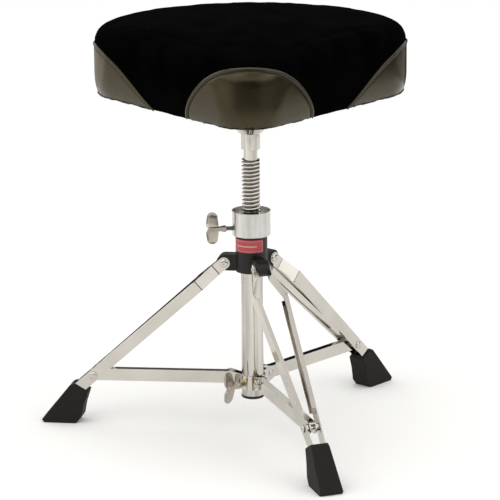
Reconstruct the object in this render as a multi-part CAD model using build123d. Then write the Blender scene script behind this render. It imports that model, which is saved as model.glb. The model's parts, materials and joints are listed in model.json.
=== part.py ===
from build123d import *
import os
from math import atan2, cos, degrees, hypot, pi, radians, sin, sqrt

# Drum throne: a saddle seat on a threaded spindle, held by a tripod of folding legs.
# Millimetres. The column stands on the Z axis and the feet rest on z = 0; the finished
# parts are shifted at the end so that the origin is the bottom centre of the whole object.

# ---- Column -------------------------------------------------------------------------
TUBE_R = 14.3
TUBE_WALL = 1.6
TUBE_BOTTOM = 47.5
TUBE_TOP = 250.0
TUBE_BORE_R = TUBE_R - TUBE_WALL

HUB_R = 20.5
HUB_BOTTOM = 214.0
HUB_TOP = 262.0
LUG_HALF_WIDTH = 8.6
LUG_END_R = 10.5

COLLAR_R = 25.0
COLLAR_BOTTOM = 262.0
COLLAR_TOP = 294.0
COLLAR_RIM = 1.8
COLLAR_RECESS = 10.0

NUT_R = 18.0
NUT_TOP = COLLAR_TOP - COLLAR_RECESS
RUNNING_FIT = 0.07

HUB_PIN_R = 2.5
HUB_PIN_AZIMUTH = 110.0
BADGE_BOTTOM = 242.0
BADGE_TOP = 259.0
BADGE_T = 0.6
BADGE_AZIMUTHS = (196.0, 255.0, 315.0)

# ---- Spindle ------------------------------------------------------------------------
THREAD_R = 11.9
THREAD_ROOT_R = 9.3
THREAD_PITCH = 5.0
THREAD_TOP = 361.0
THREAD_BOTTOM = 141.0
NECK_R = 9.05
NECK_TOP = 412.0
JOURNAL_R = 8.0
SPINDLE_BOTTOM = 127.6
GUIDE_HEIGHT = 10.0
CLIP_GROOVE_DEPTH = 0.8
CLIP_BOTTOM = SPINDLE_BOTTOM + 2.0
CLIP_THICKNESS = 1.2

# ---- Seat ---------------------------------------------------------------------------
SEAT_YAW = -0.6
SEAT_BOTTOM = 432.0
SEAT_APEX = 537.5
SEAT_APEX_Y = 100.0
CROWN_R = 1100.0
BOARD_THICKNESS = 12.0
COVER_THICKNESS = 2.5
NOSE_Y = -102.0
NOSE_R = 50.0
LOBE_X = 121.0
LOBE_Y = 85.0
LOBE_R = 81.0
BACK_Y = 60.0
BACK_R = 115.0
BACK_SIDE = (60.0, 72.0, 100.0)
TOP_EDGE_R = 22.0
BOTTOM_EDGE_R = 2.0
FRONT_PATCH = (84.0, 74.0)
SIDE_PATCH = (95.0, 60.0)
SIDE_PATCH_SHIFT = 14.0
SIDE_PATCH_AZIMUTH = 194.0
PATCH_EDGES = 8

SOCKET_R = 12.45
SOCKET_BOTTOM = 375.0
DISH_BOTTOM = 396.0
DISH_LAND_R = 15.3
DISH_RIM_R = 45.0
PLATE_R = 60.0
PLATE_THICKNESS = 3.0
PLATE_BOLT_R = 52.0
BOLT_R = 3.0
BOLT_HEAD = (5.5, 3.0)
TEE_NUT_FLANGE_R = 9.5
TEE_NUT_FLANGE_T = 1.5
TEE_NUT_BARREL_R = 3.9
TEE_NUT_BARREL_LENGTH = 8.0
TEE_NUT_POCKET = 1.5
DUST_COVER_INSET = 16.0
DUST_COVER_T = 1.0
SET_SCREW_HEAD = (7.0, 6.0, 6.0)
SET_SCREW_NECK = 2.0
SET_SCREW_HEIGHT = SOCKET_BOTTOM + 10.0

# ---- Tripod -------------------------------------------------------------------------
LEG_AZIMUTHS = {"right": 50.0, "left": 170.0, "front": 290.0}
PIVOT_X = 34.2
PIVOT_Z = 225.0
KNUCKLE_X = 209.7
KNUCKLE_Z = 65.9
PIN_R = 3.0
PIN_CLEARANCE = 0.05

STRIP_T = 1.6
STRIP_WIDTH = 15.0
FLANGE_WIDTH = 5.5
STRIP_HALF_AT_PIVOT = LUG_HALF_WIDTH + 0.1 + STRIP_T
STRIP_HALF_AT_KNEE = 22.0
STRIP_HALF_AT_END = 7.8
BEND_S = 14.6
KNEE_S = 43.0
STRIP_END_S = 285.0
FLANGE_END_S = 214.0

BRACE_HEIGHT = 16.0
BRACE_WIDTH = 9.0
BRACE_WALL = 1.5
EAR_X = 30.0
EAR_Z = 70.0
EAR_END_R = 9.0
EAR_T = 2.0
EAR_INNER = BRACE_WIDTH / 2 + 0.2
SLEEVE_R = TUBE_R + 0.1
SLEEVE_BOTTOM = 56.0
SLEEVE_TOP = 75.0

FOOT_HALF_TOP = 11.6
FOOT_HALF_SOLE = 15.4
FOOT_EDGE_R = 1.5

PIVOT_RIVET_HEAD = (5.6, 2.3)
KNUCKLE_RIVET_HEAD = (5.2, 2.0)
SLEEVE_RIVET_HEAD = (4.8, 1.8)
SPACER_R = 5.0
BUSH_R = 4.4
BUSH_LENGTH = 5.5

# The legs fold until the feet nearly meet below the column.
FOLDED_ANGLE_FROM_VERTICAL = 3.3

# ---- Wing screws --------------------------------------------------------------------
SCREW_R = 2.9
WING_T = 3.4
LOCK_SCREW_AZIMUTH = 188.0
LOCK_SCREW_Z = 271.0
CLAMP_SCREW_AZIMUTH = 230.0
CLAMP_SCREW_Z = 65.5

# ---- Worked out from the sizes above ------------------------------------------------
LEG_DROP = degrees(atan2(PIVOT_Z - KNUCKLE_Z, KNUCKLE_X - PIVOT_X))
KNUCKLE_S = hypot(PIVOT_Z - KNUCKLE_Z, KNUCKLE_X - PIVOT_X)
BRACE_LENGTH = hypot(KNUCKLE_X - EAR_X, KNUCKLE_Z - EAR_Z)
BRACE_DROP = degrees(atan2(EAR_Z - KNUCKLE_Z, KNUCKLE_X - EAR_X))
FOLD_ANGLE = 90 - LEG_DROP - FOLDED_ANGLE_FROM_VERTICAL


def knuckle_when_folded():
    """Radius and height of a brace knuckle with the legs folded."""
    lean = radians(FOLDED_ANGLE_FROM_VERTICAL)
    return PIVOT_X + KNUCKLE_S * sin(lean), PIVOT_Z - KNUCKLE_S * cos(lean)


def sleeve_travel():
    """How far the lower sleeve rides up the tube as the legs fold."""
    x, z = knuckle_when_folded()
    return z + sqrt(BRACE_LENGTH ** 2 - (x - EAR_X) ** 2) - EAR_Z


def brace_swing():
    """Angle that a brace turns on the sleeve as the legs fold."""
    x, z = knuckle_when_folded()
    return degrees(atan2(EAR_Z + sleeve_travel() - z, x - EAR_X)) - BRACE_DROP


# ---- Small helpers ------------------------------------------------------------------
def upright(radius, bottom, top):
    """Solid cylinder about the column's axis."""
    return extrude(Plane.XY.offset(bottom) * Circle(radius), top - bottom)


def ring(outer, inner, bottom, top):
    """Round sleeve about the column's axis."""
    return upright(outer, bottom, top) - upright(inner, bottom - 1, top + 1)


def cross_pin(x, z, radius, half_length):
    """Solid pin along Y, centred on the plane of a leg."""
    return Pos(x, 0, z) * Rot(90, 0, 0) * Cylinder(radius, 2 * half_length)


def turned(points):
    """Solid turned about Z from an outline of (radius, height) points."""
    return revolve(make_face(Plane.XZ * Polyline(*points, close=True)), Axis.Z)


def at_azimuth(shape, azimuth):
    return Rot(0, 0, azimuth) * shape


def radial(shape, azimuth, height):
    """Take a shape drawn along +X and point it outwards from the column."""
    return Pos(0, 0, height) * Rot(0, 0, azimuth) * shape


def rivet_head(radius, height):
    """Low domed head standing on z = 0, with the dimple that its tool leaves."""
    rim = 0.4 * height
    outline = Polyline((0, 0), (radius, 0), (radius, rim)) + ThreePointArc(
        (radius, rim), (0.7 * radius, 0.85 * height), (0.3 * radius, height))
    dimple = Polyline((0.3 * radius, height), (0.2 * radius, 0.7 * height), (0, 0.7 * height), (0, 0))
    return revolve(make_face(Plane.XZ * (outline + dimple)), Axis.Z)


def headed_pin(half_length, head_size):
    """Cross pin with a domed head at each end, centred on the origin along Y."""
    head = Pos(0, 0, half_length) * rivet_head(*head_size)
    pin = Cylinder(PIN_R, 2 * half_length) + head + mirror(head, Plane.XY)
    return Rot(90, 0, 0) * pin


# ---- Seat ---------------------------------------------------------------------------
def seat_plan(inset):
    """Outline of the saddle from above: a nose, two rear lobes and a full back."""
    side_x, side_y, side_r = BACK_SIDE
    rounds = [(0, NOSE_Y, NOSE_R), (LOBE_X, LOBE_Y, LOBE_R), (side_x, side_y, side_r),
              (0, BACK_Y, BACK_R), (-side_x, side_y, side_r), (-LOBE_X, LOBE_Y, LOBE_R)]
    return make_hull([(Pos(x, y) * Circle(r - inset)).edge() for x, y, r in rounds])


def seat_body(inset, bottom):
    """The upholstered shape above a height, taken in by inset on its sides and top."""
    block = extrude(Plane.XY.offset(bottom) * seat_plan(inset), SEAT_APEX - bottom + 20)
    crown = Pos(0, SEAT_APEX_Y, SEAT_APEX - inset - CROWN_R) * Sphere(CROWN_R)
    block = block & crown
    top_edges = block.faces().sort_by(Axis.Z)[-1].edges()
    return fillet(top_edges, TOP_EDGE_R - inset)


def patch_cutter(x, y, azimuth, size, shift=0.0):
    """Arch-shaped prism, facing outwards, that cuts one vinyl patch out of the cover."""
    half_width, height = size
    steps = [pi * k / PATCH_EDGES for k in range(PATCH_EDGES + 1)]
    corners = [(half_width * cos(a), height * sin(a)) for a in steps]
    arch = make_face(Polyline(corners, close=True))
    facing = Plane(origin=(x, y, SEAT_BOTTOM), x_dir=(-sin(azimuth), cos(azimuth), 0),
                   z_dir=(cos(azimuth), sin(azimuth), 0))
    return extrude(facing.offset(-70) * Pos(shift, 0) * arch, 250)


def seat_soft_parts():
    """Foam, plywood board, plush top cover and the three vinyl patches."""
    filling = seat_body(COVER_THICKNESS, SEAT_BOTTOM - 20)
    cover = seat_body(0, SEAT_BOTTOM)
    cover = fillet(cover.faces().sort_by(Axis.Z)[0].edges(), BOTTOM_EDGE_R) - filling
    cutters = {
        "seat_patch_front": patch_cutter(0, NOSE_Y, radians(-90), FRONT_PATCH),
        "seat_patch_left": patch_cutter(
            -LOBE_X, LOBE_Y, radians(SIDE_PATCH_AZIMUTH), SIDE_PATCH, SIDE_PATCH_SHIFT),
        "seat_patch_right": patch_cutter(
            LOBE_X, LOBE_Y, radians(180 - SIDE_PATCH_AZIMUTH), SIDE_PATCH, -SIDE_PATCH_SHIFT),
    }
    board_zone = upright(300, SEAT_BOTTOM, SEAT_BOTTOM + BOARD_THICKNESS)
    board = filling & board_zone
    for x, y in plate_bolt_places():
        board -= Pos(x, y, SEAT_BOTTOM) * Cylinder(TEE_NUT_BARREL_R, 4 * BOARD_THICKNESS)
    parts = {name: cover & cutter for name, cutter in cutters.items()}
    parts["seat_cover_top"] = cover - list(cutters.values())
    parts["seat_board"] = board
    foam = filling - upright(300, SEAT_BOTTOM - 30, SEAT_BOTTOM + BOARD_THICKNESS)
    for x, y in plate_bolt_places():
        foam -= Pos(x, y, SEAT_BOTTOM + BOARD_THICKNESS) * Cylinder(TEE_NUT_FLANGE_R, 2 * TEE_NUT_POCKET)
    parts["seat_foam"] = foam
    dust = extrude(Plane.XY.offset(SEAT_BOTTOM - DUST_COVER_T) * seat_plan(DUST_COVER_INSET), DUST_COVER_T)
    parts["seat_dust_cover"] = dust - upright(PLATE_R + 0.5, SEAT_BOTTOM - 5, SEAT_BOTTOM + 5)
    return parts


def plate_bolt_places():
    return [(PLATE_BOLT_R * cos(a), PLATE_BOLT_R * sin(a)) for a in (pi / 4 + k * pi / 2 for k in range(4))]


def seat_plate():
    """Dished steel mounting plate; the socket is welded into the bottom of its dish."""
    outline = [(SOCKET_R, DISH_BOTTOM), (DISH_LAND_R, DISH_BOTTOM),
               (DISH_RIM_R, SEAT_BOTTOM - PLATE_THICKNESS), (PLATE_R, SEAT_BOTTOM - PLATE_THICKNESS),
               (PLATE_R, SEAT_BOTTOM), (DISH_RIM_R - 1.2, SEAT_BOTTOM),
               (DISH_LAND_R - 1.2, DISH_BOTTOM + PLATE_THICKNESS), (SOCKET_R, DISH_BOTTOM + PLATE_THICKNESS)]
    plate = turned(outline)
    for x, y in plate_bolt_places():
        plate -= Pos(x, y, SEAT_BOTTOM) * Cylinder(BOLT_R, 4 * PLATE_THICKNESS)
    return plate


def seat_socket():
    """Tube that takes the spindle's neck, with a tapped hole at the rear."""
    socket = ring(SOCKET_R, NECK_R, SOCKET_BOTTOM, NECK_TOP)
    hole = radial(Pos(SOCKET_R, 0, 0) * Rot(0, 90, 0) * Cylinder(SCREW_R, 10), 90, SET_SCREW_HEIGHT)
    return socket - hole


def socket_set_screw():
    """Square-headed key screw that holds the seat on the neck."""
    shank = Pos(NECK_R + 0.02, 0, 0) * Rot(0, 90, 0) * Cylinder(
        SCREW_R, SOCKET_R - NECK_R + SET_SCREW_NECK, align=(Align.CENTER, Align.CENTER, Align.MIN))
    head = Pos(SOCKET_R + SET_SCREW_NECK + SET_SCREW_HEAD[0] / 2, 0, 0) * Box(*SET_SCREW_HEAD)
    return radial(shank + head, 90, SET_SCREW_HEIGHT)


def seat_plate_bolts():
    """Four button-headed bolts under the mounting plate."""
    bolts = []
    for x, y in plate_bolt_places():
        head = Pos(x, y, SEAT_BOTTOM - PLATE_THICKNESS) * mirror(rivet_head(*BOLT_HEAD), Plane.XY)
        shank = Pos(x, y, SEAT_BOTTOM - PLATE_THICKNESS) * Cylinder(
            BOLT_R, PLATE_THICKNESS + BOARD_THICKNESS, align=(Align.CENTER, Align.CENTER, Align.MIN))
        bolts.append(head + shank)
    return bolts


def seat_tee_nuts():
    """Four tee nuts let into the top of the board."""
    nuts = []
    base = SEAT_BOTTOM + BOARD_THICKNESS
    for x, y in plate_bolt_places():
        nut = Cylinder(TEE_NUT_FLANGE_R, TEE_NUT_FLANGE_T, align=(Align.CENTER, Align.CENTER, Align.MIN))
        nut += Cylinder(
            TEE_NUT_BARREL_R, TEE_NUT_BARREL_LENGTH, align=(Align.CENTER, Align.CENTER, Align.MAX))
        nut -= Cylinder(BOLT_R, 4 * TEE_NUT_BARREL_LENGTH)
        nuts.append(Pos(x, y, base) * nut)
    return nuts


# ---- Spindle ------------------------------------------------------------------------
def spindle():
    """Height screw: plain neck, trapezoidal ridges and a journal for the guide."""
    outline = [(0, SPINDLE_BOTTOM), (JOURNAL_R, SPINDLE_BOTTOM), (JOURNAL_R, THREAD_BOTTOM)]
    turns = int((THREAD_TOP - THREAD_BOTTOM) / THREAD_PITCH)
    for k in range(turns):
        z = THREAD_BOTTOM + k * THREAD_PITCH
        outline += [(THREAD_ROOT_R, z), (THREAD_ROOT_R, z + 0.3 * THREAD_PITCH),
                    (THREAD_R, z + 0.47 * THREAD_PITCH), (THREAD_R, z + 0.83 * THREAD_PITCH)]
    outline += [(THREAD_ROOT_R, THREAD_TOP), (NECK_R, THREAD_TOP + 0.5), (NECK_R, NECK_TOP), (0, NECK_TOP)]
    body = turned(outline)
    groove = ring(JOURNAL_R + 1, JOURNAL_R - CLIP_GROOVE_DEPTH, CLIP_BOTTOM, CLIP_BOTTOM + CLIP_THICKNESS)
    return body - groove


def spindle_guide():
    """Nylon slider on the journal: it keeps the spindle central in the tube."""
    bottom = THREAD_BOTTOM - 0.1 - GUIDE_HEIGHT
    return ring(TUBE_BORE_R - 0.05, JOURNAL_R + 0.05, bottom, bottom + GUIDE_HEIGHT)


def spindle_circlip():
    """Open ring in the groove at the bottom of the journal: it keeps the guide on."""
    clip = ring(JOURNAL_R + 2.2, JOURNAL_R - CLIP_GROOVE_DEPTH, CLIP_BOTTOM, CLIP_BOTTOM + CLIP_THICKNESS)
    return clip - Pos(JOURNAL_R, 0, CLIP_BOTTOM + CLIP_THICKNESS / 2) * Box(8, 5, 4)


# ---- Column -------------------------------------------------------------------------
def base_tube():
    return ring(TUBE_R, TUBE_BORE_R, TUBE_BOTTOM, TUBE_TOP) - hub_pin()


def tube_end_cap():
    """Black plug with a flange, pressed into the bottom of the tube."""
    flange = upright(TUBE_R + 0.5, TUBE_BOTTOM - 3.5, TUBE_BOTTOM)
    flange = chamfer(flange.faces().sort_by(Axis.Z)[0].edges(), 1.0)
    return flange + upright(TUBE_BORE_R, TUBE_BOTTOM, TUBE_BOTTOM + 7)


def hub_pin():
    """Pin at the rear of the hub that fixes it to the tube."""
    pin = Pos(TUBE_BORE_R, 0, 0) * Rot(0, 90, 0) * Cylinder(
        HUB_PIN_R, HUB_R - TUBE_BORE_R, align=(Align.CENTER, Align.CENTER, Align.MIN))
    return radial(pin, HUB_PIN_AZIMUTH, HUB_BOTTOM + 12)


def hub():
    """Moulded hub over the top of the tube, with a lug for each leg."""
    body = upright(HUB_R, HUB_BOTTOM, HUB_TOP)
    body = chamfer(body.faces().sort_by(Axis.Z)[-1].edges(), 1.2)
    end = (Pos(PIVOT_X, PIVOT_Z) * Circle(LUG_END_R)).edge()
    root = (Pos(PIVOT_X - 12, PIVOT_Z) * Circle(LUG_END_R)).edge()
    lug = extrude(Plane.XZ * make_hull([end, root]), LUG_HALF_WIDTH, both=True)
    lug = chamfer(lug.faces().sort_by(Axis.Y)[-1].edges() + lug.faces().sort_by(Axis.Y)[0].edges(), 0.8)
    for azimuth in LEG_AZIMUTHS.values():
        body += at_azimuth(lug, azimuth)
    for azimuth in LEG_AZIMUTHS.values():
        body -= at_azimuth(cross_pin(PIVOT_X, PIVOT_Z, PIN_R, 2 * LUG_HALF_WIDTH), azimuth)
    body -= upright(TUBE_R, HUB_BOTTOM - 1, TUBE_TOP)
    body -= upright(NUT_R, TUBE_TOP, HUB_TOP + 1)
    return body - hub_pin()


def hub_badge():
    """Curved plate on the front of the hub, left blank."""
    band = ring(HUB_R + BADGE_T, HUB_R, BADGE_BOTTOM, BADGE_TOP)
    reach = 3 * HUB_R
    corners = [(reach * cos(radians(azimuth)), reach * sin(radians(azimuth))) for azimuth in BADGE_AZIMUTHS]
    wedge = make_face(Polyline((0, 0), *corners, close=True))
    return band & extrude(wedge, HUB_TOP)


def screw_passage(azimuth, height, radius):
    hole = Rot(0, 90, 0) * Cylinder(radius, 80, align=(Align.CENTER, Align.CENTER, Align.MIN))
    return radial(hole, azimuth, height)


def lock_collar():
    """Turned collar on top of the hub; a thin rim stands round its recessed top."""
    body = ring(COLLAR_R, NUT_R, COLLAR_BOTTOM, COLLAR_TOP)
    body = chamfer(body.faces().sort_by(Axis.Z)[0].edges().sort_by(SortBy.RADIUS)[-1:], 0.8)
    recess = upright(COLLAR_R - COLLAR_RIM, NUT_TOP, COLLAR_TOP + 1)
    return body - recess - screw_passage(LOCK_SCREW_AZIMUTH, LOCK_SCREW_Z, SCREW_R + PIN_CLEARANCE)


def spindle_nut():
    """Steel nut that carries the spindle; its bore clears the thread's crests."""
    nut = ring(NUT_R, THREAD_R + RUNNING_FIT, TUBE_TOP, NUT_TOP)
    return nut - screw_passage(LOCK_SCREW_AZIMUTH, LOCK_SCREW_Z, SCREW_R + PIN_CLEARANCE)


def lock_pad():
    """Brass slug that the wing screw presses against the thread."""
    slug = Rot(0, 90, 0) * Cylinder(SCREW_R, 4.0, align=(Align.CENTER, Align.CENTER, Align.MIN))
    slug = radial(Pos(THREAD_R, 0, 0) * slug, LOCK_SCREW_AZIMUTH, LOCK_SCREW_Z)
    return slug - upright(THREAD_R + RUNNING_FIT, TUBE_TOP, COLLAR_TOP)


def wing_screw(tip, wing_start):
    """Wing screw along +X: thread from tip, boss at wing_start, two swept lobes."""
    thread = Pos(tip, 0, 0) * Rot(0, 90, 0) * Cylinder(
        SCREW_R, wing_start - tip + 2, align=(Align.CENTER, Align.CENTER, Align.MIN))
    boss = Rot(0, 90, 0) * Cone(4.2, 2.4, 24, align=(Align.CENTER, Align.CENTER, Align.MIN))
    lobe_circles = [(12.0, 0.0, 3.6), (17.0, 14.5, 7.0), (20.0, 6.0, 5.5)]
    lobe = make_hull([(Pos(x, z) * Circle(r)).edge() for x, z, r in lobe_circles])
    lobe = extrude(Plane.XZ * lobe, WING_T / 2, both=True)
    lobes = lobe + mirror(lobe, Plane.XY)
    return thread + Pos(wing_start, 0, 0) * (boss + lobes)


# ---- Legs ---------------------------------------------------------------------------
def along_leg(shape):
    """Take a shape drawn along +X from a leg's pivot and lay it along the open leg."""
    return Pos(PIVOT_X, 0, PIVOT_Z) * Rot(0, LEG_DROP, 0) * shape


def sheet(path, thickness):
    """Plan outline of a bent sheet: path is its outer face, the metal lies inside."""
    outer = FilletPolyline(*path, radius=4.0) if len(path) > 2 else Line(*path)
    return make_face(offset(outer, amount=thickness, side=Side.RIGHT, closed=True))


def leg_strip():
    """One pressed steel strip of a leg, on the +Y side, drawn along +X."""
    half = STRIP_WIDTH / 2
    path = [(-half - 1, STRIP_HALF_AT_PIVOT), (BEND_S, STRIP_HALF_AT_PIVOT),
            (KNEE_S, STRIP_HALF_AT_KNEE), (STRIP_END_S, STRIP_HALF_AT_END)]
    web = extrude(sheet(path, STRIP_T), half, both=True)
    slope = (STRIP_HALF_AT_END - STRIP_HALF_AT_KNEE) / (STRIP_END_S - KNEE_S)
    edge = [(s, STRIP_HALF_AT_KNEE + slope * (s - KNEE_S)) for s in (KNEE_S + 5, FLANGE_END_S)]
    flange = extrude(Plane.XY.offset(half - STRIP_T) * sheet(edge, FLANGE_WIDTH), STRIP_T)
    flanges = flange + mirror(flange, Plane.XY)
    side_view = Pos(STRIP_END_S / 2, 0) * Rectangle(STRIP_END_S, STRIP_WIDTH) + Circle(half)
    side_view -= Circle(PIN_R + PIN_CLEARANCE)
    side_view -= Pos(KNUCKLE_S, 0) * Circle(PIN_R)
    return (web + flanges) & extrude(Plane.XZ * side_view, 40, both=True)


def half_width_at(s):
    """Outer half width of a leg at a distance from its pivot, beyond the knee."""
    part = (s - KNEE_S) / (STRIP_END_S - KNEE_S)
    return STRIP_HALF_AT_KNEE + part * (STRIP_HALF_AT_END - STRIP_HALF_AT_KNEE)


def knuckle_rivets():
    """A short rivet with its spacer in each strip; the brace ends between them."""
    outer = half_width_at(KNUCKLE_S)
    head = Pos(0, 0, outer + 0.32) * rivet_head(*KNUCKLE_RIVET_HEAD)
    inner = BRACE_WIDTH / 2 + 0.2
    shank = Pos(0, 0, inner) * Cylinder(
        PIN_R, outer - inner + 0.4, align=(Align.CENTER, Align.CENTER, Align.MIN))
    spacer = Pos(0, 0, inner) * Cylinder(
        SPACER_R, outer - STRIP_T - inner - 0.4, align=(Align.CENTER, Align.CENTER, Align.MIN))
    rivet = Pos(KNUCKLE_S, 0, 0) * Rot(90, 0, 0) * (head + shank + spacer)
    return [along_leg(rivet), along_leg(mirror(rivet, Plane.XZ))]


def foot(strips):
    """Rubber boot: a wedge with a flat sole, pushed over the ends of both strips."""
    side_view = Polyline((236.5, 53.5), (241.5, 51.0), (280.0, 3.5), (277.0, 0.0), (234.0, 0.0),
                         (227.0, 8.0), (223.5, 25.0), (217.5, 43.0), close=True)
    boot = extrude(Plane.XZ * make_face(side_view), 30, both=True)
    start, end = 230.0, 360.0
    lip, sole = 258.0, 333.0
    slope = (FOOT_HALF_SOLE - FOOT_HALF_TOP) / (sole - lip)
    near, far = (FOOT_HALF_TOP + slope * (s - lip) for s in (start, end))
    taper = make_face(Polyline((start, -near), (end, -far), (end, far), (start, near), close=True))
    boot = boot & along_leg(extrude(taper, 80, both=True))
    rounded = [edge for edge in boot.edges() if edge.bounding_box().max.Z > 1]
    boot = fillet(rounded, FOOT_EDGE_R)
    pocket = along_leg(Pos(255, 0, 0) * Box(2 * (STRIP_END_S - 255), 12, STRIP_WIDTH - 2))
    return boot - pocket - strips


# ---- Braces and the lower sleeve ----------------------------------------------------
def brace():
    """Channel from the sleeve's ear to the leg, open below, drawn along +X."""
    half = BRACE_HEIGHT / 2
    side_view = Pos(BRACE_LENGTH / 2, 0) * SlotOverall(BRACE_LENGTH + BRACE_HEIGHT, BRACE_HEIGHT)
    side_view -= Circle(PIN_R + PIN_CLEARANCE)
    side_view -= Pos(BRACE_LENGTH, 0) * Circle(PIN_R)
    outer = extrude(Plane.XZ * side_view, BRACE_WIDTH / 2, both=True)
    hollow = Pos(BRACE_LENGTH / 2, 0, -BRACE_WALL) * Box(
        BRACE_LENGTH + 4 * half, BRACE_WIDTH - 2 * BRACE_WALL, BRACE_HEIGHT)
    return along_brace(outer - hollow)


def along_brace(shape):
    return Pos(EAR_X, 0, EAR_Z) * Rot(0, BRACE_DROP, 0) * shape


def brace_end_pin():
    """The part of the knuckle's rivet that turns with the brace."""
    return along_brace(cross_pin(BRACE_LENGTH, 0, PIN_R, BRACE_WIDTH / 2 + 0.1))


def sleeve_segment():
    """One third of the lower sleeve: it wraps the tube and ends in two ear plates.

    Drawn between the ear at azimuth 0 and the ear at azimuth 120.
    """
    wrap = ring(SLEEVE_R + EAR_T, SLEEVE_R, SLEEVE_BOTTOM, SLEEVE_TOP)
    margin = degrees(atan2(EAR_INNER, SLEEVE_R))
    reach = 60
    corners = [(reach * cos(radians(a)), reach * sin(radians(a))) for a in (margin, 60, 120 - margin)]
    wrap = wrap & extrude(Plane.XY * make_face(Polyline((0, 0), *corners, close=True)), 100)
    root = Pos(SLEEVE_R - 0.5, (SLEEVE_BOTTOM + SLEEVE_TOP) / 2) * Rectangle(1, SLEEVE_TOP - SLEEVE_BOTTOM)
    end = (Pos(EAR_X, EAR_Z) * Circle(EAR_END_R)).edge()
    ear_view = make_hull([end] + list(root.edges()))
    ear_view -= Pos(EAR_X, EAR_Z) * Circle(PIN_R)
    ear = Pos(0, EAR_INNER + EAR_T, 0) * extrude(Plane.XZ * ear_view, EAR_T)
    far_ear = at_azimuth(mirror(ear, Plane.XZ), 120)
    return (wrap + ear + far_ear) - upright(SLEEVE_R, 0, 200)


def sleeve_segments():
    """Three segments; the one at the front left is tapped for its wing screw."""
    plain = sleeve_segment()
    names = {"sleeve_back": LEG_AZIMUTHS["right"], "sleeve_left": LEG_AZIMUTHS["left"],
             "sleeve_right": LEG_AZIMUTHS["front"]}
    parts = {name: at_azimuth(plain, azimuth) for name, azimuth in names.items()}
    parts["sleeve_left"] -= screw_passage(CLAMP_SCREW_AZIMUTH, CLAMP_SCREW_Z, BUSH_R)
    return parts


def sleeve_bush():
    """Brass insert in the sleeve that the wing screw threads through."""
    barrel = Pos(SLEEVE_R + 0.3, 0, 0) * Rot(0, 90, 0) * Cylinder(
        BUSH_R, BUSH_LENGTH, align=(Align.CENTER, Align.CENTER, Align.MIN))
    bush = radial(barrel, CLAMP_SCREW_AZIMUTH, CLAMP_SCREW_Z)
    return bush - screw_passage(CLAMP_SCREW_AZIMUTH, CLAMP_SCREW_Z, SCREW_R + PIN_CLEARANCE)


def sleeve_rivets():
    rivet = Pos(EAR_X, 0, EAR_Z) * headed_pin(EAR_INNER + EAR_T, SLEEVE_RIVET_HEAD)
    return [at_azimuth(rivet, azimuth) for azimuth in LEG_AZIMUTHS.values()]


# ---- Assembly -----------------------------------------------------------------------
def leg_parts(side, azimuth):
    strip = along_leg(leg_strip())
    other = mirror(strip, Plane.XZ)
    pivot = Pos(PIVOT_X, 0, PIVOT_Z) * headed_pin(STRIP_HALF_AT_PIVOT + 0.1, PIVOT_RIVET_HEAD)
    parts = {
        f"leg_{side}_strip_a": [strip],
        f"leg_{side}_strip_b": [other],
        f"leg_{side}_pivot_rivet": [pivot],
        f"leg_{side}_knuckle_rivets": knuckle_rivets(),
        f"leg_{side}_foot": [foot([strip, other])],
        f"brace_{side}": [brace()],
        f"brace_{side}_end_pin": [brace_end_pin()],
    }
    return {name: [at_azimuth(s, azimuth) for s in shapes] for name, shapes in parts.items()}


def all_parts():
    """Every named part, as a list of separate solids, about the column's axis."""
    seat = seat_soft_parts()
    seat["seat_plate"] = seat_plate()
    seat["seat_socket"] = seat_socket()
    seat["socket_set_screw"] = socket_set_screw()
    parts = {name: [shape] for name, shape in seat.items()}
    parts["seat_plate_bolts"] = seat_plate_bolts()
    parts["seat_tee_nuts"] = seat_tee_nuts()
    parts["spindle"] = [spindle()]
    parts["spindle_circlip"] = [spindle_circlip()]
    parts = {name: [at_azimuth(s, SEAT_YAW) for s in shapes] for name, shapes in parts.items()}
    column = {
        "spindle_guide": spindle_guide(), "spindle_nut": spindle_nut(), "lock_collar": lock_collar(),
        "lock_pad": lock_pad(), "hub": hub(), "hub_badge": hub_badge(), "hub_pin": hub_pin(),
        "base_tube": base_tube(), "tube_end_cap": tube_end_cap(), "sleeve_bush": sleeve_bush(),
        "lock_wing_screw": radial(wing_screw(THREAD_R + 4.1, 33.0), LOCK_SCREW_AZIMUTH, LOCK_SCREW_Z),
        "sleeve_wing_screw": radial(wing_screw(SLEEVE_R, 28.0), CLAMP_SCREW_AZIMUTH, CLAMP_SCREW_Z),
    }
    column.update(sleeve_segments())
    parts.update({name: [shape] for name, shape in column.items()})
    parts["sleeve_rivets"] = sleeve_rivets()
    for side, azimuth in LEG_AZIMUTHS.items():
        parts.update(leg_parts(side, azimuth))
    return parts


def bottom_centre(parts):
    """The bottom centre of the whole object's box, which becomes the origin."""
    box = Compound([s for shapes in parts.values() for s in shapes]).bounding_box()
    return (box.min.X + box.max.X) / 2, (box.min.Y + box.max.Y) / 2, box.min.Z


def solids_of(shapes):
    return [solid for shape in shapes for solid in shape.solids()]


def main():
    parts = {name: solids_of(shapes) for name, shapes in all_parts().items()}
    x, y, z = bottom_centre(parts)
    os.makedirs("parts", exist_ok=True)
    for name, solids in parts.items():
        placed = [Pos(-x, -y, -z) * solid for solid in solids]
        export_step(placed[0] if len(placed) == 1 else Compound(placed), f"parts/{name}.step")
    return x, y, z


column_offset = main()
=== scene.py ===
import json
from math import atan2, cos, hypot, pi, radians, sin, tau

import bmesh
import bpy
from mathutils import Matrix, Vector, noise
from mathutils.bvhtree import BVHTree
from mathutils.geometry import convex_hull_2d


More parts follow.
